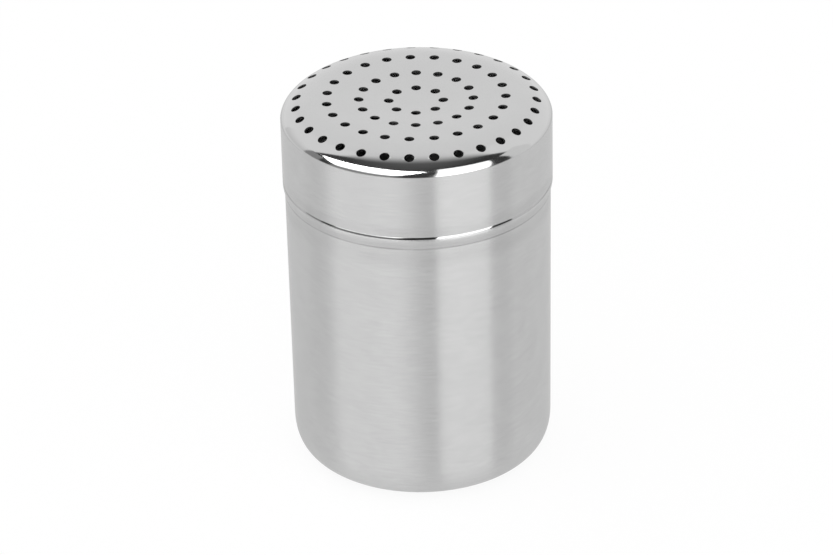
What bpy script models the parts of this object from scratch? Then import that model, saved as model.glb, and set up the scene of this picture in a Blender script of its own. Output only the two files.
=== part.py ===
# Restaurant spice shaker: a deep-drawn steel cup, and a perforated cap that slips over its neck.
# Metres, +Z up. The origin is the centre of the ring that the cup stands on.
# Both pieces are turned from one outline each, given their sheet thickness, and the cap is then
# punched with four rings of holes, each hole square to the dished and rounded sheet that it is in.

import math

import bmesh
import bpy
from mathutils import Matrix, Vector

# Cap
cap_radius = 0.035
cap_height = 0.0219
cap_sheet = 0.0004
shoulder_reach = 0.0099
shoulder_drop = 0.0048
shoulder_fullness = 1.75
dish_depth = 0.0011
hole_diameter = 0.0023
hole_counts = (8, 16, 23, 31)
hole_ring_shares = (0.2, 0.42, 0.6585, 0.886)
hole_start_angle = math.radians(-0.87)

# Cup
cup_sheet = 0.0004
seat_height = 0.0793
bead_height = 0.0032
bead_stand = 0.0005
rim_below_shoulder = 0.0014
wall_draft = 0.0003
corner_reach = 0.0087
corner_rise = 0.0103
corner_fullness = 2.8
foot_ring_width = 0.0027
base_panel_rise = 0.0008
base_panel_slope_width = 0.0016

# Fits between the two
slip_clearance = 0.0003
seat_gap = 0.00025

# Making
turn_steps = 60
dish_steps = 7
shoulder_steps = 9
bead_edge_steps = 4
bead_flank_steps = 4
corner_steps = 8
hole_sides = 12
cutter_overrun = 0.002
merge_distance = 0.00001
smooth_angle = math.radians(32)

steel_colour = (0.60, 0.60, 0.61, 1.0)
cap_roughness = 0.28
cup_roughness = 0.34

# Sizes that follow
crown_radius = cap_radius - shoulder_reach
cap_seat = seat_height + seat_gap
neck_radius = cap_radius - cap_sheet - slip_clearance
wall_radius = cap_radius - bead_stand
rim_height = cap_seat + cap_height - shoulder_drop - rim_below_shoulder
base_wall_radius = wall_radius - wall_draft
foot_outer_radius = base_wall_radius - corner_reach
foot_inner_radius = foot_outer_radius - foot_ring_width
base_panel_radius = foot_inner_radius - base_panel_slope_width


def clear_scene():
    for thing in list(bpy.data.objects):
        bpy.data.objects.remove(thing, do_unlink=True)


def new_collection(name):
    group = bpy.data.collections.new(name)
    bpy.context.scene.collection.children.link(group)
    return group


def steel(name, roughness):
    material = bpy.data.materials.new(name)
    material.use_nodes = True
    shader = material.node_tree.nodes["Principled BSDF"]
    shader.inputs["Base Color"].default_value = steel_colour
    shader.inputs["Metallic"].default_value = 1.0
    shader.inputs["Roughness"].default_value = roughness
    material.diffuse_color = steel_colour
    return material


# One quarter of a superellipse, from the end of its first half-axis to the end of its second.
# A fullness of 2 is an ellipse, less is flatter and more is boxier.
def quarter_round(fullness, steps):
    corner = []
    for step in range(steps + 1):
        turn = math.pi / 2 * step / steps
        corner.append((math.cos(turn) ** (2 / fullness), math.sin(turn) ** (2 / fullness)))
    return corner


# Height of the cap's top above its lower edge, and the lean of the sheet there, outwards positive.
def cap_top(radius):
    if radius <= crown_radius:
        swing = math.pi * radius / crown_radius
        height = cap_height - dish_depth * (1 + math.cos(swing)) / 2
        slope = dish_depth * math.pi / (2 * crown_radius) * math.sin(swing)
    else:
        across = (radius - crown_radius) / shoulder_reach
        fall = 1 - across**shoulder_fullness
        height = cap_height - shoulder_drop * (1 - fall ** (1 / shoulder_fullness))
        steepness = across ** (shoulder_fullness - 1) * fall ** (1 / shoulder_fullness - 1)
        slope = -shoulder_drop / shoulder_reach * steepness
    return height, math.atan(-slope)


# From the centre of the dish, over the crown and the shoulder, and down the skirt.
def cap_outline():
    outline = []
    for step in range(dish_steps):
        radius = crown_radius * step / dish_steps
        outline.append((radius, cap_top(radius)[0]))
    shoulder_foot = cap_height - shoulder_drop
    for down, out in quarter_round(shoulder_fullness, shoulder_steps):
        outline.append((crown_radius + shoulder_reach * out, shoulder_foot + shoulder_drop * down))
    outline.append((cap_radius, 0))
    return outline


# From the rim, down the neck, round the bead that the cap stops on, down the wall,
# round the corner, and over the foot ring to the raised panel of the base.
def cup_outline():
    outline = [(neck_radius, rim_height)]
    bead_edge = cap_radius - neck_radius
    for up, out in quarter_round(2, bead_edge_steps):
        outline.append((neck_radius + bead_edge * out, seat_height - bead_edge * (1 - up)))
    flank_height = bead_height - bead_edge
    flank_turn = 2 * math.atan(bead_stand / flank_height)
    flank_radius = flank_height / math.sin(flank_turn)
    for step in range(1, bead_flank_steps + 1):
        turn = flank_turn * step / bead_flank_steps
        inward = flank_radius * (1 - math.cos(turn))
        downward = flank_radius * math.sin(turn)
        outline.append((cap_radius - inward, seat_height - bead_edge - downward))
    for out, down in quarter_round(corner_fullness, corner_steps):
        outline.append((foot_outer_radius + corner_reach * out, corner_rise * (1 - down)))
    outline.append((foot_inner_radius, 0))
    outline.append((base_panel_radius, base_panel_rise))
    outline.append((0, base_panel_rise))
    return outline


# An outline turned about Z, with the sheet's thickness laid on its inner side.
def turned_sheet(name, outline, sheet, group):
    mesh = bpy.data.meshes.new(name)
    points = [(radius, 0, height) for radius, height in outline]
    mesh.from_pydata(points, [(i, i + 1) for i in range(len(points) - 1)], [])
    shell = bpy.data.objects.new(name, mesh)
    group.objects.link(shell)
    turn = shell.modifiers.new("turn", "SCREW")
    turn.steps = turn_steps
    turn.render_steps = turn_steps
    turn.use_merge_vertices = True
    turn.merge_threshold = merge_distance
    wall = shell.modifiers.new("sheet", "SOLIDIFY")
    wall.thickness = sheet
    wall.offset = -1
    wall.use_even_offset = True
    return shell


# One punch for each hole, all in one mesh, each standing square to the sheet at its ring.
def hole_punches(group):
    punches = bmesh.new()
    for count, share in zip(hole_counts, hole_ring_shares):
        radius = cap_radius * share
        height, lean = cap_top(radius)
        for number in range(count):
            around = hole_start_angle + 2 * math.pi * number / count
            place = Matrix.Rotation(around, 4, "Z")
            place @= Matrix.Translation(Vector((radius, 0, height)))
            place @= Matrix.Rotation(lean, 4, "Y")
            bmesh.ops.create_cone(
                punches,
                cap_ends=True,
                segments=hole_sides,
                radius1=hole_diameter / 2,
                radius2=hole_diameter / 2,
                depth=2 * (cap_sheet + cutter_overrun),
                matrix=place,
            )
    mesh = bpy.data.meshes.new("hole_punches")
    punches.to_mesh(mesh)
    punches.free()
    cutter = bpy.data.objects.new("hole_punches", mesh)
    group.objects.link(cutter)
    cutter.hide_render = True
    cutter.display_type = "WIRE"
    return cutter


# The modifiers' result becomes the mesh, smooth but for its real edges.
def settle(piece, material):
    bpy.context.view_layer.update()
    evaluated = piece.evaluated_get(bpy.context.evaluated_depsgraph_get())
    mesh = bpy.data.meshes.new_from_object(evaluated)
    mesh.name = piece.name
    piece.modifiers.clear()
    piece.data = mesh
    mesh.shade_smooth()
    mesh.set_sharp_from_angle(angle=smooth_angle)
    mesh.materials.clear()
    mesh.materials.append(material)


def make_cup(group):
    cup = turned_sheet("cup", cup_outline(), cup_sheet, group)
    settle(cup, steel("satin_steel_cup", cup_roughness))
    return cup


def make_cap(group, cutters):
    cap = turned_sheet("perforated_cap", cap_outline(), cap_sheet, group)
    cap.location.z = cap_seat
    punches = hole_punches(cutters)
    punches.location.z = cap_seat
    punching = cap.modifiers.new("holes", "BOOLEAN")
    punching.operation = "DIFFERENCE"
    punching.solver = "EXACT"
    punching.object = punches
    settle(cap, steel("polished_steel_cap", cap_roughness))
    return cap


def main():
    clear_scene()
    shaker = new_collection("spice_shaker")
    cutters = new_collection("cutters")
    cup = make_cup(shaker)
    cap = make_cap(shaker, cutters)
    cap.parent = cup


main()
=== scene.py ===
import math

import bpy
from mathutils import Matrix, Vector


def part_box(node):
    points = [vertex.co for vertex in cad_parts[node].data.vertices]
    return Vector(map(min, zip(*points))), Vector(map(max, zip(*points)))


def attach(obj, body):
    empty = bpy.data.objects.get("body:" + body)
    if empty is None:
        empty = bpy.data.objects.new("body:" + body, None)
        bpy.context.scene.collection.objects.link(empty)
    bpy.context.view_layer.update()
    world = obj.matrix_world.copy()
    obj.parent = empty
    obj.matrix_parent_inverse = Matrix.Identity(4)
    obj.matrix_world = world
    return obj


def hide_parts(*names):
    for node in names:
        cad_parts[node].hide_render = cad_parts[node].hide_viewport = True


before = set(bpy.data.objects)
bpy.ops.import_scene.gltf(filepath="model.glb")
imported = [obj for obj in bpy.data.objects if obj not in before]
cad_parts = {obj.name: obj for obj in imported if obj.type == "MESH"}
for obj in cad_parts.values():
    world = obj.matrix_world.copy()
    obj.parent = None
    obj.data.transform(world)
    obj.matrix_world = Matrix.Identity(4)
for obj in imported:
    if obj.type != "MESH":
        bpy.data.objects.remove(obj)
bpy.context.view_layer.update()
print("frame loaded:", ", ".join(sorted(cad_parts)))

mm = 0.001
mergeGap = 0.003 * mm
smoothAngle = math.radians(40)
softStep = {"interpolation_type": "SMOOTHSTEP"}
capLow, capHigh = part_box("perforated_cap")
cupLow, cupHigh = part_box("cup")


def deselectAll():
    if bpy.context.mode != "OBJECT":
        bpy.ops.object.mode_set(mode="OBJECT")
    bpy.ops.object.select_all(action="DESELECT")


def makeActive(piece):
    deselectAll()
    piece.select_set(True)
    bpy.context.view_layer.objects.active = piece


def applyModifiers(piece):
    makeActive(piece)
    for modifier in list(piece.modifiers):
        bpy.ops.object.modifier_apply(modifier=modifier.name)


# goes to face mode with only the faces selected whose centre and normal pass the test
def selectFaces(piece, test):
    makeActive(piece)
    bpy.ops.object.mode_set(mode="EDIT")
    bpy.ops.mesh.select_mode(type="FACE")
    bpy.ops.mesh.select_all(action="DESELECT")
    bpy.ops.object.mode_set(mode="OBJECT")
    for face in piece.data.polygons:
        face.select = test(face.center, face.normal)
    bpy.ops.object.mode_set(mode="EDIT")


# a line of (radius, height) points, extruded from one vertex and spun round Z
def turnOutline(name, outline, steps):
    deselectAll()
    bpy.ops.mesh.primitive_plane_add(size=mm)
    piece = bpy.context.object
    piece.name = piece.data.name = name
    bpy.ops.object.mode_set(mode="EDIT")
    bpy.ops.mesh.select_mode(type="VERT")
    bpy.ops.mesh.select_all(action="SELECT")
    bpy.ops.mesh.merge(type="CENTER")
    bpy.ops.transform.translate(value=(outline[0][0], 0, outline[0][1]))
    for before, after in zip(outline, outline[1:]):
        move = (after[0] - before[0], 0, after[1] - before[1])
        bpy.ops.mesh.extrude_region_move(TRANSFORM_OT_translate={"value": move})
    bpy.ops.mesh.select_all(action="SELECT")
    bpy.ops.mesh.spin(steps=steps, angle=2 * math.pi, center=(0, 0, 0), axis=(0, 0, 1))
    bpy.ops.mesh.select_all(action="SELECT")
    bpy.ops.mesh.remove_doubles(threshold=mergeGap)
    bpy.ops.mesh.normals_make_consistent(inside=False)
    bpy.ops.object.mode_set(mode="OBJECT")
    return piece


def shadeSmooth(piece):
    makeActive(piece)
    bpy.ops.object.shade_smooth_by_angle(angle=smoothAngle)


# Camera

view = {
    "lens": 175.87,
    "filmWidth": 36,
    "place": Vector((-0.889, -929.80, 577.30)) * mm,
    "lookDown": math.radians(29.64),
    "roll": math.radians(-1.28),
    "nearClip": 0.01,
    "farClip": 50,
}


def makeCamera():
    deselectAll()
    bpy.ops.object.camera_add()
    camera = bpy.context.object
    camera.data.lens = view["lens"]
    camera.data.sensor_width = view["filmWidth"]
    camera.data.clip_start = view["nearClip"]
    camera.data.clip_end = view["farClip"]
    tilt = Matrix.Rotation(math.pi / 2 - view["lookDown"], 4, "X")
    roll = Matrix.Rotation(view["roll"], 4, "Z")
    camera.matrix_world = Matrix.Translation(view["place"]) @ tilt @ roll
    bpy.context.scene.camera = camera


makeCamera()
print("camera placed")


# Finishes

def newMaterial(name):
    material = bpy.data.materials.new(name)
    material.use_nodes = True
    return material, material.node_tree


# a node with its settings and the values of its sockets
def addNode(tree, kind, settings=None, values=None):
    node = tree.nodes.new("ShaderNode" + kind)
    for key, value in (settings or {}).items():
        setattr(node, key, value)
    for key, value in (values or {}).items():
        node.inputs[key].default_value = value
    return node


def newGroup(name, inputs, outputs):
    group = bpy.data.node_groups.new(name, "ShaderNodeTree")
    for socket, kind, value in inputs:
        made = group.interface.new_socket(name=socket, in_out="INPUT", socket_type="NodeSocket" + kind)
        made.default_value = value
    for socket, kind in outputs:
        group.interface.new_socket(name=socket, in_out="OUTPUT", socket_type="NodeSocket" + kind)
    return group, group.nodes.new("NodeGroupInput"), group.nodes.new("NodeGroupOutput")


def useGroup(tree, group, values):
    node = tree.nodes.new("ShaderNodeGroup")
    node.node_tree = group
    for key, value in values.items():
        node.inputs[key].default_value = value
    return node


# lines that run round the piece: they change quickly along its outline and slowly round it
def makeBrushLines():
    group, given, result = newGroup(
        "brushLines",
        [("Fineness", "Float", 9000), ("Streak", "Float", 160)],
        [("Lines", "Float")],
    )
    links = group.links
    place = addNode(group, "TexCoord")
    split = addNode(group, "SeparateXYZ")
    links.new(place.outputs["Object"], split.inputs[0])
    flat = addNode(group, "CombineXYZ")
    links.new(split.outputs["X"], flat.inputs["X"])
    links.new(split.outputs["Y"], flat.inputs["Y"])
    radius = addNode(group, "VectorMath", {"operation": "LENGTH"})
    links.new(flat.outputs[0], radius.inputs[0])
    along = addNode(group, "Math", {"operation": "SUBTRACT"})
    links.new(split.outputs["Z"], along.inputs[0])
    links.new(radius.outputs["Value"], along.inputs[1])
    fine = addNode(group, "Math", {"operation": "MULTIPLY"})
    links.new(along.outputs[0], fine.inputs[0])
    links.new(given.outputs["Fineness"], fine.inputs[1])
    circling = addNode(group, "VectorMath", {"operation": "SCALE"})
    links.new(flat.outputs[0], circling.inputs[0])
    links.new(given.outputs["Streak"], circling.inputs["Scale"])
    lift = addNode(group, "CombineXYZ")
    links.new(fine.outputs[0], lift.inputs["Z"])
    where = addNode(group, "VectorMath", {"operation": "ADD"})
    links.new(circling.outputs[0], where.inputs[0])
    links.new(lift.outputs[0], where.inputs[1])
    noise = addNode(group, "TexNoise", None, {"Scale": 1, "Detail": 3, "Roughness": 0.6})
    links.new(where.outputs[0], noise.inputs["Vector"])
    links.new(noise.outputs["Fac"], result.inputs["Lines"])
    return group


# faint clouds where the sheet has been handled
def makeHandling():
    group, given, result = newGroup("handling", [("Size", "Float", 150)], [("Clouds", "Float")])
    links = group.links
    place = addNode(group, "TexCoord")
    noise = addNode(group, "TexNoise", None, {"Detail": 4, "Roughness": 0.55, "Distortion": 0.4})
    links.new(place.outputs["Object"], noise.inputs["Vector"])
    links.new(given.outputs["Size"], noise.inputs["Scale"])
    ramp = addNode(group, "MapRange", None, {"From Min": 0.35, "From Max": 0.65})
    links.new(noise.outputs["Fac"], ramp.inputs["Value"])
    links.new(ramp.outputs[0], result.inputs["Clouds"])
    return group


# brush lines and handling together: colour, roughness and a height for the bump
def makeSteelFinish():
    group, given, result = newGroup(
        "steelFinish",
        [
            ("Colour", "Color", (0.6, 0.6, 0.6, 1)),
            ("Roughness", "Float", 0.3),
            ("Fineness", "Float", 9000),
            ("Streak", "Float", 160),
            ("Line Shade", "Float", 0.04),
            ("Cloud Shade", "Float", 0.02),
            ("Roughness Swing", "Float", 0.03),
        ],
        [("Base Color", "Color"), ("Roughness", "Float"), ("Height", "Float")],
    )
    links = group.links
    lines = useGroup(group, brushLines, {})
    links.new(given.outputs["Fineness"], lines.inputs["Fineness"])
    links.new(given.outputs["Streak"], lines.inputs["Streak"])
    clouds = useGroup(group, handling, {})
    # shade = 1 + line shade * (lines - 0.5) - cloud shade * clouds
    swing = addNode(group, "Math", {"operation": "SUBTRACT"}, {1: 0.5})
    links.new(lines.outputs["Lines"], swing.inputs[0])
    lineShade = addNode(group, "Math", {"operation": "MULTIPLY_ADD"}, {2: 1})
    links.new(swing.outputs[0], lineShade.inputs[0])
    links.new(given.outputs["Line Shade"], lineShade.inputs[1])
    cloudShade = addNode(group, "Math", {"operation": "MULTIPLY"})
    links.new(clouds.outputs["Clouds"], cloudShade.inputs[0])
    links.new(given.outputs["Cloud Shade"], cloudShade.inputs[1])
    shade = addNode(group, "Math", {"operation": "SUBTRACT"})
    links.new(lineShade.outputs[0], shade.inputs[0])
    links.new(cloudShade.outputs[0], shade.inputs[1])
    colour = addNode(group, "VectorMath", {"operation": "SCALE"})
    links.new(given.outputs["Colour"], colour.inputs[0])
    links.new(shade.outputs[0], colour.inputs["Scale"])
    links.new(colour.outputs[0], result.inputs["Base Color"])
    # the handled clouds are a little duller
    rough = addNode(group, "Math", {"operation": "MULTIPLY_ADD"})
    links.new(clouds.outputs["Clouds"], rough.inputs[0])
    links.new(given.outputs["Roughness Swing"], rough.inputs[1])
    links.new(given.outputs["Roughness"], rough.inputs[2])
    links.new(rough.outputs[0], result.inputs["Roughness"])
    links.new(lines.outputs["Lines"], result.inputs["Height"])
    return group


# 0 or 1 on either side of a distance from the axis, with a soft step between two radii
def makeByRadius():
    group, given, result = newGroup(
        "byRadius",
        [("Inner", "Float", 0.03), ("Outer", "Float", 0.032)],
        [("Share", "Float")],
    )
    links = group.links
    place = addNode(group, "TexCoord")
    flat = addNode(group, "VectorMath", {"operation": "MULTIPLY"}, {1: (1, 1, 0)})
    links.new(place.outputs["Object"], flat.inputs[0])
    radius = addNode(group, "VectorMath", {"operation": "LENGTH"})
    links.new(flat.outputs[0], radius.inputs[0])
    ramp = addNode(group, "MapRange", softStep)
    links.new(radius.outputs["Value"], ramp.inputs["Value"])
    links.new(given.outputs["Inner"], ramp.inputs["From Min"])
    links.new(given.outputs["Outer"], ramp.inputs["From Max"])
    links.new(ramp.outputs[0], result.inputs["Share"])
    return group


# a band of painted shade at one height, broken up along its length
def makePaintedShadeBand():
    group, given, result = newGroup(
        "paintedShadeBand",
        [("Level", "Float", 0.076), ("Width", "Float", 0.0003), ("Amount", "Float", 0.2)],
        [("Share", "Float")],
    )
    links = group.links
    place = addNode(group, "TexCoord")
    split = addNode(group, "SeparateXYZ")
    links.new(place.outputs["Object"], split.inputs[0])
    away = addNode(group, "Math", {"operation": "SUBTRACT"})
    links.new(split.outputs["Z"], away.inputs[0])
    links.new(given.outputs["Level"], away.inputs[1])
    distance = addNode(group, "Math", {"operation": "ABSOLUTE"})
    links.new(away.outputs[0], distance.inputs[0])
    ramp = addNode(group, "MapRange", softStep, {"From Min": 0, "To Min": 1, "To Max": 0})
    links.new(distance.outputs[0], ramp.inputs["Value"])
    links.new(given.outputs["Width"], ramp.inputs["From Max"])
    noise = addNode(group, "TexNoise", None, {"Scale": 90, "Detail": 3})
    links.new(place.outputs["Object"], noise.inputs["Vector"])
    broken = addNode(group, "MapRange", None, {"From Min": 0.35, "From Max": 0.6, "To Min": 0.35})
    links.new(noise.outputs["Fac"], broken.inputs["Value"])
    part = addNode(group, "Math", {"operation": "MULTIPLY"})
    links.new(ramp.outputs[0], part.inputs[0])
    links.new(broken.outputs[0], part.inputs[1])
    share = addNode(group, "Math", {"operation": "MULTIPLY"})
    links.new(part.outputs[0], share.inputs[0])
    links.new(given.outputs["Amount"], share.inputs[1])
    links.new(share.outputs[0], result.inputs["Share"])
    return group


brushLines = makeBrushLines()
handling = makeHandling()
steelFinish = makeSteelFinish()
byRadius = makeByRadius()
paintedShadeBand = makePaintedShadeBand()


def grey(level):
    return (level, level, level, 1)


steel = {
    "bright": grey(0.595),
    "beadBright": grey(0.5),
    "inner": grey(0.5),
    "crown": grey(0.57),
    "satin": grey(0.712),
    # painted shade: the holes' walls are coloured dark because the holes are in shade
    "holeWallShade": grey(0.10),
    # grey of the painted shade that the satin is darkened towards in bands
    "paintedShade": grey(0.25),
    "satinRoughness": 0.264,
    "satinBrushed": 0.98,
    "innerBrushed": 0.3,
    "brushedTurn": 0.25,
    "lineHeight": 0.0006 * mm,
}
capPolish = {
    "crownRoughness": 0.20,
    "shoulderRoughness": 0.08,
    "startRadius": 30.5 * mm,
    "fullRadius": 32 * mm,
    "footStart": 34.6 * mm,
    "footEnd": 35.05 * mm,
    "footSoftening": 0.05,
}


def steelMaterial(name, finish, brushed=0, lineHeight=0):
    material, tree = newMaterial(name)
    links = tree.links
    shader = tree.nodes["Principled BSDF"]
    shader.inputs["Metallic"].default_value = 1
    look = useGroup(tree, steelFinish, finish)
    links.new(look.outputs["Base Color"], shader.inputs["Base Color"])
    links.new(look.outputs["Roughness"], shader.inputs["Roughness"])
    if lineHeight:
        bump = addNode(tree, "Bump", None, {"Strength": 1, "Distance": lineHeight})
        links.new(look.outputs["Height"], bump.inputs["Height"])
        links.new(bump.outputs["Normal"], shader.inputs["Normal"])
    if brushed:
        shader.inputs["Anisotropic"].default_value = brushed
        shader.inputs["Anisotropic Rotation"].default_value = steel["brushedTurn"]
        tangent = addNode(tree, "Tangent", {"direction_type": "RADIAL", "axis": "Z"})
        links.new(tangent.outputs["Tangent"], shader.inputs["Tangent"])
    return material, tree, shader, look


# brushed round the piece and darkened by bands of painted shade, each given as (level, width, amount)
def makeSatin(name, paintedShadeBands):
    finish = {
        "Colour": steel["satin"],
        "Roughness": steel["satinRoughness"],
        "Fineness": 2800,
        "Streak": 230,
        "Line Shade": 0.14,
        "Cloud Shade": 0.03,
        "Roughness Swing": 0.003,
    }
    material, tree, shader, look = steelMaterial(
        name, finish, steel["satinBrushed"], steel["lineHeight"]
    )
    colour = look.outputs["Base Color"]
    # each band mixes the satin towards the painted shade grey
    for level, width, amount in paintedShadeBands:
        shadeBand = useGroup(tree, paintedShadeBand, {"Level": level, "Width": width, "Amount": amount})
        paintedShade = addNode(tree, "Mix", {"data_type": "RGBA"})
        paintedShade.inputs[7].default_value = steel["paintedShade"]
        tree.links.new(shadeBand.outputs["Share"], paintedShade.inputs[0])
        tree.links.new(colour, paintedShade.inputs[6])
        colour = paintedShade.outputs[2]
    tree.links.new(colour, shader.inputs["Base Color"])
    return material


# a fine satin crown that turns bright on the shoulder and a little softer again at the skirt
def makeCapTop():
    finish = {
        "Fineness": 5000,
        "Streak": 300,
        "Line Shade": 0.015,
        "Cloud Shade": 0.015,
        "Roughness Swing": 0.02,
    }
    material, tree, shader, look = steelMaterial("capTop", finish)
    polished = {"Inner": capPolish["startRadius"], "Outer": capPolish["fullRadius"]}
    where = useGroup(tree, byRadius, polished)
    colour = addNode(tree, "Mix", {"data_type": "RGBA"}, {6: steel["crown"], 7: steel["bright"]})
    tree.links.new(where.outputs["Share"], colour.inputs[0])
    tree.links.new(colour.outputs[2], look.inputs["Colour"])
    roughness = {"To Min": capPolish["crownRoughness"], "To Max": capPolish["shoulderRoughness"]}
    rough = addNode(tree, "MapRange", None, roughness)
    tree.links.new(where.outputs["Share"], rough.inputs["Value"])
    foot = useGroup(tree, byRadius, {"Inner": capPolish["footStart"], "Outer": capPolish["footEnd"]})
    softer = addNode(tree, "Math", {"operation": "MULTIPLY_ADD"}, {1: capPolish["footSoftening"]})
    tree.links.new(foot.outputs["Share"], softer.inputs[0])
    tree.links.new(rough.outputs[0], softer.inputs[2])
    tree.links.new(softer.outputs[0], look.inputs["Roughness"])
    return material


def makePolished():
    finish = {
        "Colour": steel["beadBright"],
        "Roughness": 0.07,
        "Line Shade": 0,
        "Cloud Shade": 0.01,
        "Roughness Swing": 0.01,
    }
    return steelMaterial("polished", finish)[0]


def makeInnerSteel():
    finish = {
        "Colour": steel["inner"],
        "Roughness": 0.45,
        "Fineness": 4000,
        "Line Shade": 0.06,
        "Cloud Shade": 0.04,
    }
    return steelMaterial("innerSteel", finish, steel["innerBrushed"])[0]


# the holes' walls: rough where the punch cut them, and painted dark as the shade inside the holes
def makeHoleEdge():
    finish = {"Colour": steel["holeWallShade"], "Roughness": 0.55, "Fineness": 12000, "Line Shade": 0.2}
    return steelMaterial("holeEdge", finish)[0]


# Cap

cap = {
    "turnSteps": 240,
    "sheet": 0.4 * mm,
    "crownEdge": 25.1 * mm,
    "shoulderReach": 9.952 * mm,
    "shoulderDrop": 5.363 * mm,
    "shoulderFullness": 1.893,
    "shoulderSteps": 44,
    "dishDepth": 1.1 * mm,
    "dishSteps": 36,
    "skirtSteps": 6,
    "holdingLoop": 0.05 * mm,
    "hemLevel": 79.55 * mm,
    "hemRound": 0.1 * mm,
    "hemSteps": 4,
    # a band of painted shade on the skirt near the hem
    "paintedShadeBands": ((80.6 * mm, 3.2 * mm, 0.13),),
    "insideShare": 0.95,
    "squareShare": 0.95,
    "leanLimit": 1.2,
}
# each ring as (number of holes, radius of the ring, diameter of a hole)
holes = {
    "rings": (
        (8, 7.0 * mm, 2.42 * mm),
        (16, 14.7 * mm, 2.42 * mm),
        (23, 23.05 * mm, 2.44 * mm),
        (31, 31.01 * mm, 2.54 * mm),
    ),
    "firstAngle": math.radians(-0.87),
    "sides": 32,
    "mouthRound": 0.06 * mm,
    "mouthSteps": 2,
    "reach": 1.5 * mm,
    "topFacing": 0.5,
}


# height of the cap's outer surface at a radius, and how far the sheet leans outwards there
def capSurface(radius):
    if radius <= cap["crownEdge"]:
        swing = math.pi * radius / cap["crownEdge"]
        height = capHigh.z - cap["dishDepth"] * (1 + math.cos(swing)) / 2
        slope = cap["dishDepth"] * math.pi / (2 * cap["crownEdge"]) * math.sin(swing)
        return height, -math.atan(slope)
    fullness = cap["shoulderFullness"]
    across = (radius - cap["crownEdge"]) / cap["shoulderReach"]
    fall = 1 - across**fullness
    height = capHigh.z - cap["shoulderDrop"] * (1 - fall ** (1 / fullness))
    steepness = across ** (fullness - 1) * fall ** (1 / fullness - 1)
    return height, math.atan(cap["shoulderDrop"] / cap["shoulderReach"] * steepness)


shoulderFoot = capSurface(capHigh.x)[0]


def capOutline():
    outer = []
    for step in range(cap["dishSteps"]):
        radius = cap["crownEdge"] * step / cap["dishSteps"]
        outer.append((radius, *capSurface(radius)))
    acrossEnd = (capHigh.x - cap["crownEdge"]) / cap["shoulderReach"]
    turnEnd = math.asin(acrossEnd ** (cap["shoulderFullness"] / 2))
    for step in range(cap["shoulderSteps"] + 1):
        turn = turnEnd * step / cap["shoulderSteps"]
        radius = cap["crownEdge"] + cap["shoulderReach"] * math.sin(turn) ** (2 / cap["shoulderFullness"])
        outer.append((radius, *capSurface(radius)))
    # the shoulder meets the skirt in a slight crease
    upright = math.pi / 2
    skirtTop = shoulderFoot - cap["holdingLoop"]
    skirtEnd = cap["hemLevel"] + cap["hemRound"] + cap["holdingLoop"]
    for step in range(cap["skirtSteps"] + 1):
        height = skirtTop + (skirtEnd - skirtTop) * step / cap["skirtSteps"]
        outer.append((capHigh.x, height, upright))
    outline = [(radius, height) for radius, height, lean in outer]
    hemTop = cap["hemLevel"] + cap["hemRound"]
    for step in range(cap["hemSteps"] + 1):
        turn = math.pi / 2 * step / cap["hemSteps"]
        inwards = cap["hemRound"] * (1 - math.cos(turn))
        outline.append((capHigh.x - inwards, hemTop - cap["hemRound"] * math.sin(turn)))
    # the cut edge, then the inner side, a sheet's thickness in
    outline.append((capHigh.x - cap["sheet"], cap["hemLevel"]))
    for radius, height, lean in reversed(outer):
        inner = max(radius - cap["sheet"] * math.sin(lean), 0)
        outline.append((inner, height - cap["sheet"] * math.cos(lean)))
    return outline


def makePunch(diameter):
    deselectAll()
    reach, radius, mouth = holes["reach"], diameter / 2, holes["mouthRound"]
    bpy.ops.mesh.primitive_cylinder_add(
        vertices=holes["sides"], radius=radius, depth=reach - mouth, location=(0, 0, 0)
    )
    punch = bpy.context.object
    punch.name = "holePunch"
    bpy.ops.object.mode_set(mode="EDIT")
    bpy.ops.mesh.select_all(action="SELECT")
    bpy.ops.transform.translate(value=(0, 0, -(reach + mouth) / 2))
    selectFaces(punch, lambda centre, normal: normal.z > holes["topFacing"])
    wide = radius
    for step in range(1, holes["mouthSteps"] + 1):
        turn = math.pi / 2 * step / holes["mouthSteps"]
        lastTurn = math.pi / 2 * (step - 1) / holes["mouthSteps"]
        rise = mouth * (math.sin(turn) - math.sin(lastTurn))
        newWide = radius + mouth * (1 - math.cos(turn))
        bpy.ops.mesh.extrude_region_move(TRANSFORM_OT_translate={"value": (0, 0, rise)})
        bpy.ops.transform.resize(value=(newWide / wide, newWide / wide, 1), center_override=(0, 0, 0))
        wide = newWide
    bpy.ops.mesh.extrude_region_move(TRANSFORM_OT_translate={"value": (0, 0, reach)})
    bpy.ops.object.mode_set(mode="OBJECT")
    return punch


def makePunches():
    copies = []
    for count, radius, diameter in holes["rings"]:
        first = makePunch(diameter)
        height, lean = capSurface(radius)
        for number in range(count):
            around = holes["firstAngle"] + 2 * math.pi * number / count
            place = Matrix.Rotation(around, 4, "Z")
            place @= Matrix.Translation((radius, 0, height))
            place @= Matrix.Rotation(lean, 4, "Y")
            copy = first.copy()
            copy.data = first.data.copy()
            bpy.context.scene.collection.objects.link(copy)
            copy.data.transform(place)
            copies.append(copy)
        bpy.data.objects.remove(first)
    deselectAll()
    for copy in copies:
        copy.select_set(True)
    bpy.context.view_layer.objects.active = copies[0]
    bpy.ops.object.join()
    return copies[0]


# which finish a face of the cap has: 0 skirt, 1 top, 2 inside, 3 wall of a hole
def capFinish(centre, normal):
    radius = centre.xy.length
    surface, lean = capSurface(min(radius, capHigh.x))
    if radius > capHigh.x - cap["sheet"] / 2 and centre.z < shoulderFoot:
        return 0
    if centre.z < surface - cap["sheet"] * cap["insideShare"] / math.cos(min(lean, cap["leanLimit"])):
        return 2
    outwards = Vector((centre.x, centre.y, 0)).normalized()
    square = outwards * math.sin(lean) + Vector((0, 0, math.cos(lean)))
    if abs(normal.dot(square)) < cap["squareShare"]:
        return 3
    return 1 if normal.dot(square) > 0 else 2


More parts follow.
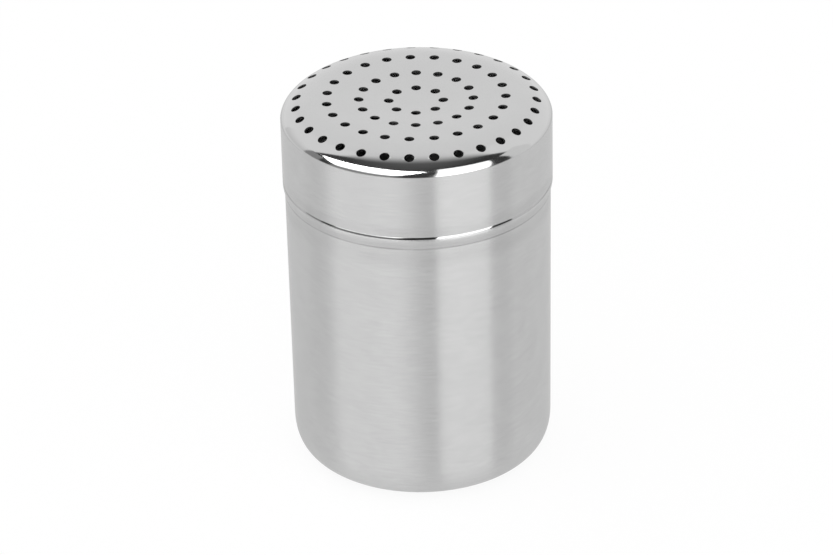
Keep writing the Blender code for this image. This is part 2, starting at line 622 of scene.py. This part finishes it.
def makeCap():
    piece = turnOutline("capShell", capOutline(), cap["turnSteps"])
    punches = makePunches()
    cut = piece.modifiers.new("holes", "BOOLEAN")
    cut.operation = "DIFFERENCE"
    cut.solver = "EXACT"
    cut.object = punches
    applyModifiers(piece)
    bpy.data.objects.remove(punches)
    shadeSmooth(piece)
    piece.data.materials.clear()
    skirt = makeSatin("satinSkirt", cap["paintedShadeBands"])
    for material in (skirt, makeCapTop(), innerSteel, makeHoleEdge()):
        piece.data.materials.append(material)
    for face in piece.data.polygons:
        face.material_index = capFinish(face.center, face.normal)
    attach(piece, "cap")
    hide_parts("perforated_cap")


# Cup

cup = {
    "turnSteps": 240,
    "sheet": 0.4 * mm,
    "slipClearance": 0.3 * mm,
    "beadLevel": 78.37 * mm,
    "beadRound": 2.3 * mm,
    "beadTurn": math.radians(27),
    "crestTurn": math.radians(8),
    "crestSteps": 4,
    "polishTurn": math.radians(12),
    "beadSteps": 12,
    "seatRound": 0.12 * mm,
    "seatTurn": math.radians(85),
    "seatSteps": 6,
    "beadFoot": 76.0 * mm,
    "beadStand": 0.5 * mm,
    "flankSteps": 10,
    "holdingLoop": 0.05 * mm,
    "wallDraft": 0.3 * mm,
    "wallSteps": 8,
    "cornerReach": 8.7 * mm,
    "cornerRise": 10.3 * mm,
    "cornerFullness": 2.8,
    "cornerSteps": 32,
    # bands of painted shade: a thin dark line in the crease at the bead's foot, a band over the bead's
    # flank and a wide band on the wall below it
    "paintedShadeBands": (
        (75.97 * mm, 0.4 * mm, 0.5),
        (77 * mm, 1.6 * mm, 0.13),
        (73.2 * mm, 4.2 * mm, 0.12),
    ),
    "footRingWidth": 2.7 * mm,
    "panelRise": 0.8 * mm,
    "panelSlope": 1.6 * mm,
    "panelSteps": 8,
    "rimRound": 0.12 * mm,
    "rimSteps": 3,
    "rimDepth": 0.05 * mm,
    "rimFacing": 0.9,
    "insideFacing": -0.3,
    "floorFacing": 0.5,
}
neckRadius = capHigh.x - cap["sheet"] - cup["slipClearance"]
innerSteel = makeInnerSteel()


def cupOutline():
    # the cap sits on a flat step, which rounds over to the bead's full upper edge
    beadRadius = capHigh.x - cup["beadRound"]
    change = cup["beadRound"] - cup["seatRound"]
    seatRadius = beadRadius + change * math.cos(cup["beadTurn"])
    seatLevel = cup["beadLevel"] + change * math.sin(cup["beadTurn"])
    outline = [(neckRadius, cupHigh.z), (neckRadius, seatLevel + cup["seatRound"])]
    for step in range(cup["seatSteps"] + 1):
        turn = cup["seatTurn"] + (cup["beadTurn"] - cup["seatTurn"]) * step / cup["seatSteps"]
        out, rise = cup["seatRound"] * math.cos(turn), cup["seatRound"] * math.sin(turn)
        outline.append((seatRadius + out, seatLevel + rise))
    turns = [cup["beadTurn"] * (1 - step / cup["beadSteps"]) for step in range(1, cup["beadSteps"] + 1)]
    for turn in sorted(turns + [cup["polishTurn"]], reverse=True):
        out, rise = cup["beadRound"] * math.cos(turn), cup["beadRound"] * math.sin(turn)
        outline.append((beadRadius + out, cup["beadLevel"] + rise))
    # past its crest the flank curves in to the wall
    for step in range(1, cup["crestSteps"] + 1):
        turn = cup["crestTurn"] * step / cup["crestSteps"]
        out, fall = cup["beadRound"] * math.cos(turn), cup["beadRound"] * math.sin(turn)
        outline.append((beadRadius + out, cup["beadLevel"] - fall))
    crest, crestLevel = outline[-1]
    wallTop = capHigh.x - cup["beadStand"]
    flankHeight = crestLevel - cup["beadFoot"]
    footTurn = 2 * math.atan((crest - wallTop) / flankHeight) - cup["crestTurn"]
    flankRadius = flankHeight / (math.sin(footTurn) - math.sin(cup["crestTurn"]))
    for step in range(1, cup["flankSteps"] + 1):
        turn = cup["crestTurn"] + (footTurn - cup["crestTurn"]) * step / cup["flankSteps"]
        inwards = flankRadius * (math.cos(cup["crestTurn"]) - math.cos(turn))
        fall = flankRadius * (math.sin(turn) - math.sin(cup["crestTurn"]))
        outline.append((crest - inwards, crestLevel - fall))
    wallFoot = wallTop - cup["wallDraft"]
    top, foot = cup["beadFoot"] - cup["holdingLoop"], cup["cornerRise"]
    for step in range(cup["wallSteps"]):
        share = step / cup["wallSteps"]
        outline.append((wallTop + (wallFoot - wallTop) * share, top + (foot - top) * share))
    footOuter = wallFoot - cup["cornerReach"]
    for step in range(cup["cornerSteps"] + 1):
        turn = math.pi / 2 * step / cup["cornerSteps"]
        out = math.cos(turn) ** (2 / cup["cornerFullness"])
        down = math.sin(turn) ** (2 / cup["cornerFullness"])
        outline.append((footOuter + cup["cornerReach"] * out, cup["cornerRise"] * (1 - down)))
    footInner = footOuter - cup["footRingWidth"]
    for step in range(cup["panelSteps"] + 1):
        share = step / cup["panelSteps"]
        rise = cup["panelRise"] * (1 - math.cos(math.pi * share)) / 2
        outline.append((footInner - cup["panelSlope"] * share, rise))
    outline.append((footInner / 2, cup["panelRise"]))
    outline.append((0, cup["panelRise"]))
    return outline


def makeCup():
    piece = turnOutline("cupShell", cupOutline(), cup["turnSteps"])
    wall = piece.modifiers.new("sheet", "SOLIDIFY")
    wall.thickness = cup["sheet"]
    wall.offset = -1
    wall.use_even_offset = True
    applyModifiers(piece)
    rimFoot = cupHigh.z - cup["rimDepth"]
    selectFaces(piece, lambda centre, normal: normal.z > cup["rimFacing"] and centre.z > rimFoot)
    bpy.ops.mesh.bevel(offset=cup["rimRound"], segments=cup["rimSteps"], affect="EDGES")
    bpy.ops.object.mode_set(mode="OBJECT")
    shadeSmooth(piece)
    piece.data.materials.clear()
    for material in (makeSatin("satinCup", cup["paintedShadeBands"]), makePolished(), innerSteel):
        piece.data.materials.append(material)
    polishLevel = cup["beadLevel"] + cup["beadRound"] * math.sin(cup["polishTurn"])
    # 0 satin outside, 1 the bead's polished upper edge and the neck's foot, 2 inside
    for face in piece.data.polygons:
        outwards = Vector((face.center.x, face.center.y, 0)).normalized()
        facesUp = face.normal.z > cup["floorFacing"] and face.center.z < cup["beadFoot"]
        if face.normal.dot(outwards) < cup["insideFacing"] or facesUp:
            face.material_index = 2
        elif polishLevel < face.center.z < cap["hemLevel"]:
            face.material_index = 1
    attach(piece, "cup")
    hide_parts("cup")


makeCap()
print("cap made")
makeCup()
print("cup made")


# Studio

studio = {
    "centre": Vector((0, 0, 90 * mm)),
    "cardDistance": 1.6,
    "darkDistance": 2.4,
    "rightLevel": 2.95,
    "leftLevel": 9.8,
    "fillLevel": 0.31,
    "cornerLevel": 0.32,
    "sideLevel": 0.88,
    "leftTentLevel": 0.8,
    "worldLevel": 1,
}
# pairs are the values up to zenithStart and at zenithEnd, both heights on a unit sphere
darkRoom = {
    "segments": 96,
    "rings": 48,
    "edgeTurn": 0.055,
    "zenithStart": 0.8,
    "zenithEnd": 1.0,
    "edgeBegin": (0.06, -0.12),
    "edgeEnd": (0.10, 0.45),
    "level": (0.05, 0.13),
}
# how bright metal sees the floor: frontLevel, changed behind the shaker by nearLift to farLift
floorLook = {
    "size": 12,
    "roughness": 0.9,
    "frontLevel": 0.73,
    "frontEdge": -0.5,
    "backEdge": 0.09,
    "nearDistance": 0.22,
    "farDistance": 0.75,
    "nearLift": -0.04,
    "farLift": 0.2,
    "cameraShare": 0.9,
}


def direction(azimuth, elevation):
    azimuth, elevation = math.radians(azimuth), math.radians(elevation)
    flat = math.cos(elevation)
    return Vector((math.sin(azimuth) * flat, -math.cos(azimuth) * flat, math.sin(elevation)))


def onlyReflected(card):
    card.visible_camera = False
    card.visible_diffuse = False
    card.visible_shadow = False
    card.visible_volume_scatter = False


# a glow that fades to clear, each fade from one place on the card to another
def glowMaterial(name, level, fades):
    material, tree = newMaterial(name)
    tree.nodes.remove(tree.nodes["Principled BSDF"])
    out = tree.nodes["Material Output"]
    glow = addNode(tree, "Emission", None, {"Strength": level})
    place = addNode(tree, "TexCoord")
    split = addNode(tree, "SeparateXYZ")
    tree.links.new(place.outputs["UV"], split.inputs[0])
    shown = glow.outputs[0]
    for side, start, end in fades:
        clear = addNode(tree, "BsdfTransparent")
        mix = addNode(tree, "MixShader")
        ramp = addNode(tree, "MapRange", softStep, {"From Min": start, "From Max": end})
        tree.links.new(split.outputs[side], ramp.inputs["Value"])
        tree.links.new(ramp.outputs[0], mix.inputs[0])
        tree.links.new(clear.outputs[0], mix.inputs[1])
        tree.links.new(shown, mix.inputs[2])
        shown = mix.outputs[0]
    tree.links.new(shown, out.inputs["Surface"])
    return material


# corners as (azimuth, elevation) seen from the shaker: lower left, lower right, upper left, upper right
def makeCard(name, corners, behind, level, fades=()):
    deselectAll()
    bpy.ops.mesh.primitive_plane_add(size=1)
    card = bpy.context.object
    card.name = name
    for vertex, corner in zip(card.data.vertices, corners):
        vertex.co = studio["centre"] + direction(*corner) * (studio["cardDistance"] + behind)
    card.data.materials.append(glowMaterial(name, level, fades))
    onlyReflected(card)


# the socket values that carry one of the dark room's pairs from low to the zenith
def towardsZenith(pair):
    return {
        "From Min": darkRoom["zenithStart"],
        "From Max": darkRoom["zenithEnd"],
        "To Min": pair[0],
        "To Max": pair[1],
    }


# the dark room on the camera's side of the tent, fading out behind the zenith
def makeDarkHalf():
    deselectAll()
    bpy.ops.mesh.primitive_uv_sphere_add(
        segments=darkRoom["segments"], ring_count=darkRoom["rings"], radius=studio["darkDistance"]
    )
    dome = bpy.context.object
    dome.name = "darkHalf"
    dome.location = studio["centre"]
    material, tree = newMaterial("darkHalf")
    links = tree.links
    tree.nodes.remove(tree.nodes["Principled BSDF"])
    place = addNode(tree, "TexCoord")
    unit = addNode(tree, "VectorMath", {"operation": "NORMALIZE"})
    split = addNode(tree, "SeparateXYZ")
    links.new(place.outputs["Object"], unit.inputs[0])
    links.new(unit.outputs[0], split.inputs[0])
    # how far past the front half the direction points, with the edge turned a little
    side = addNode(tree, "Math", {"operation": "MULTIPLY_ADD"}, {1: darkRoom["edgeTurn"]})
    links.new(split.outputs["X"], side.inputs[0])
    links.new(split.outputs["Y"], side.inputs[2])
    begin = addNode(tree, "MapRange", softStep, towardsZenith(darkRoom["edgeBegin"]))
    end = addNode(tree, "MapRange", softStep, towardsZenith(darkRoom["edgeEnd"]))
    links.new(split.outputs["Z"], begin.inputs["Value"])
    links.new(split.outputs["Z"], end.inputs["Value"])
    ramp = addNode(tree, "MapRange", softStep, {"To Min": 1, "To Max": 0})
    links.new(side.outputs[0], ramp.inputs["Value"])
    links.new(begin.outputs[0], ramp.inputs["From Min"])
    links.new(end.outputs[0], ramp.inputs["From Max"])
    level = addNode(tree, "MapRange", None, towardsZenith(darkRoom["level"]))
    links.new(split.outputs["Z"], level.inputs["Value"])
    glow = addNode(tree, "Emission")
    links.new(level.outputs[0], glow.inputs["Strength"])
    clear = addNode(tree, "BsdfTransparent")
    mix = addNode(tree, "MixShader")
    links.new(ramp.outputs[0], mix.inputs[0])
    links.new(clear.outputs[0], mix.inputs[1])
    links.new(glow.outputs[0], mix.inputs[2])
    links.new(mix.outputs[0], tree.nodes["Material Output"].inputs["Surface"])
    dome.data.materials.append(material)
    onlyReflected(dome)


# white for the camera with the shaker's faint shadow, greyer in reflections, most of all in front
def makeFloor():
    deselectAll()
    bpy.ops.mesh.primitive_plane_add(size=floorLook["size"])
    floor = bpy.context.object
    floor.name = "floor"
    material, tree = newMaterial("whiteFloor")
    links = tree.links
    shader = tree.nodes["Principled BSDF"]
    shader.inputs["Base Color"].default_value = grey(1)
    shader.inputs["Roughness"].default_value = floorLook["roughness"]
    shader.inputs["Specular IOR Level"].default_value = 0
    path = addNode(tree, "LightPath")
    place = addNode(tree, "TexCoord")
    unit = addNode(tree, "VectorMath", {"operation": "NORMALIZE"})
    split = addNode(tree, "SeparateXYZ")
    links.new(place.outputs["Object"], unit.inputs[0])
    links.new(unit.outputs[0], split.inputs[0])
    edges = {"From Min": floorLook["frontEdge"], "From Max": floorLook["backEdge"]}
    back = addNode(tree, "MapRange", softStep, edges)
    links.new(split.outputs["Y"], back.inputs["Value"])
    away = addNode(tree, "VectorMath", {"operation": "LENGTH"})
    links.new(place.outputs["Object"], away.inputs[0])
    distances = {
        "From Min": floorLook["nearDistance"],
        "From Max": floorLook["farDistance"],
        "To Min": floorLook["nearLift"],
        "To Max": floorLook["farLift"],
    }
    far = addNode(tree, "MapRange", softStep, distances)
    links.new(away.outputs["Value"], far.inputs["Value"])
    seen = addNode(tree, "Math", {"operation": "MULTIPLY_ADD"}, {2: floorLook["frontLevel"]})
    links.new(back.outputs[0], seen.inputs[0])
    links.new(far.outputs[0], seen.inputs[1])
    level = addNode(tree, "Mix", {"data_type": "FLOAT"}, {2: 1})
    links.new(path.outputs["Is Glossy Ray"], level.inputs[0])
    links.new(seen.outputs[0], level.inputs[3])
    glow = addNode(tree, "Emission")
    links.new(level.outputs[0], glow.inputs["Strength"])
    share = addNode(tree, "Math", {"operation": "MULTIPLY_ADD"}, {1: floorLook["cameraShare"]})
    links.new(path.outputs["Is Camera Ray"], share.inputs[0])
    links.new(path.outputs["Is Glossy Ray"], share.inputs[2])
    mix = addNode(tree, "MixShader")
    links.new(share.outputs[0], mix.inputs[0])
    links.new(shader.outputs[0], mix.inputs[1])
    links.new(glow.outputs[0], mix.inputs[2])
    links.new(mix.outputs[0], tree.nodes["Material Output"].inputs["Surface"])
    floor.data.materials.append(material)


def makeWorld():
    world = bpy.data.worlds.new("whiteTent")
    world.use_nodes = True
    background = world.node_tree.nodes["Background"]
    background.inputs["Color"].default_value = grey(1)
    background.inputs["Strength"].default_value = studio["worldLevel"]
    bpy.context.scene.world = world


makeDarkHalf()
makeCard(
    "rightSoftbox",
    corners=((12.5, -6), (56.6, -6), (21.2, 53.8), (69.5, 40.5)),
    behind=0,
    level=studio["rightLevel"],
    fades=[("Y", 2.2, 0.1), ("Y", -0.2, 0.3)],
)
makeCard(
    "leftSoftbox",
    corners=((-63, 8), (-24, 8), (-92, 33.5), (9, 46.3)),
    behind=0,
    level=studio["leftLevel"],
    fades=[("Y", 0.08, 0.82), ("Y", 1, 0.93)],
)
makeCard(
    "fillCard",
    corners=((-73, -6), (-14, -6), (-73, 20), (-8, 20)),
    behind=0.2,
    level=studio["fillLevel"],
    fades=[("X", 1, 0.75)],
)
makeCard(
    "cornerCard",
    corners=((-102, -6), (-84, -6), (-101, 28), (-85, 24)),
    behind=0.1,
    level=studio["cornerLevel"],
)
makeCard(
    "sideCard",
    corners=((79.5, -6), (103, -6), (81, 38.5), (104, 41)),
    behind=0.1,
    level=studio["sideLevel"],
)
makeCard(
    "leftTent",
    corners=((-135, -6), (-101, -6), (-135, 28), (-101, 28)),
    behind=0.2,
    level=studio["leftTentLevel"],
    fades=[("Y", 1, 0.2)],
)
makeFloor()
makeWorld()
bpy.context.scene.view_settings.view_transform = "Standard"
print("studio set")
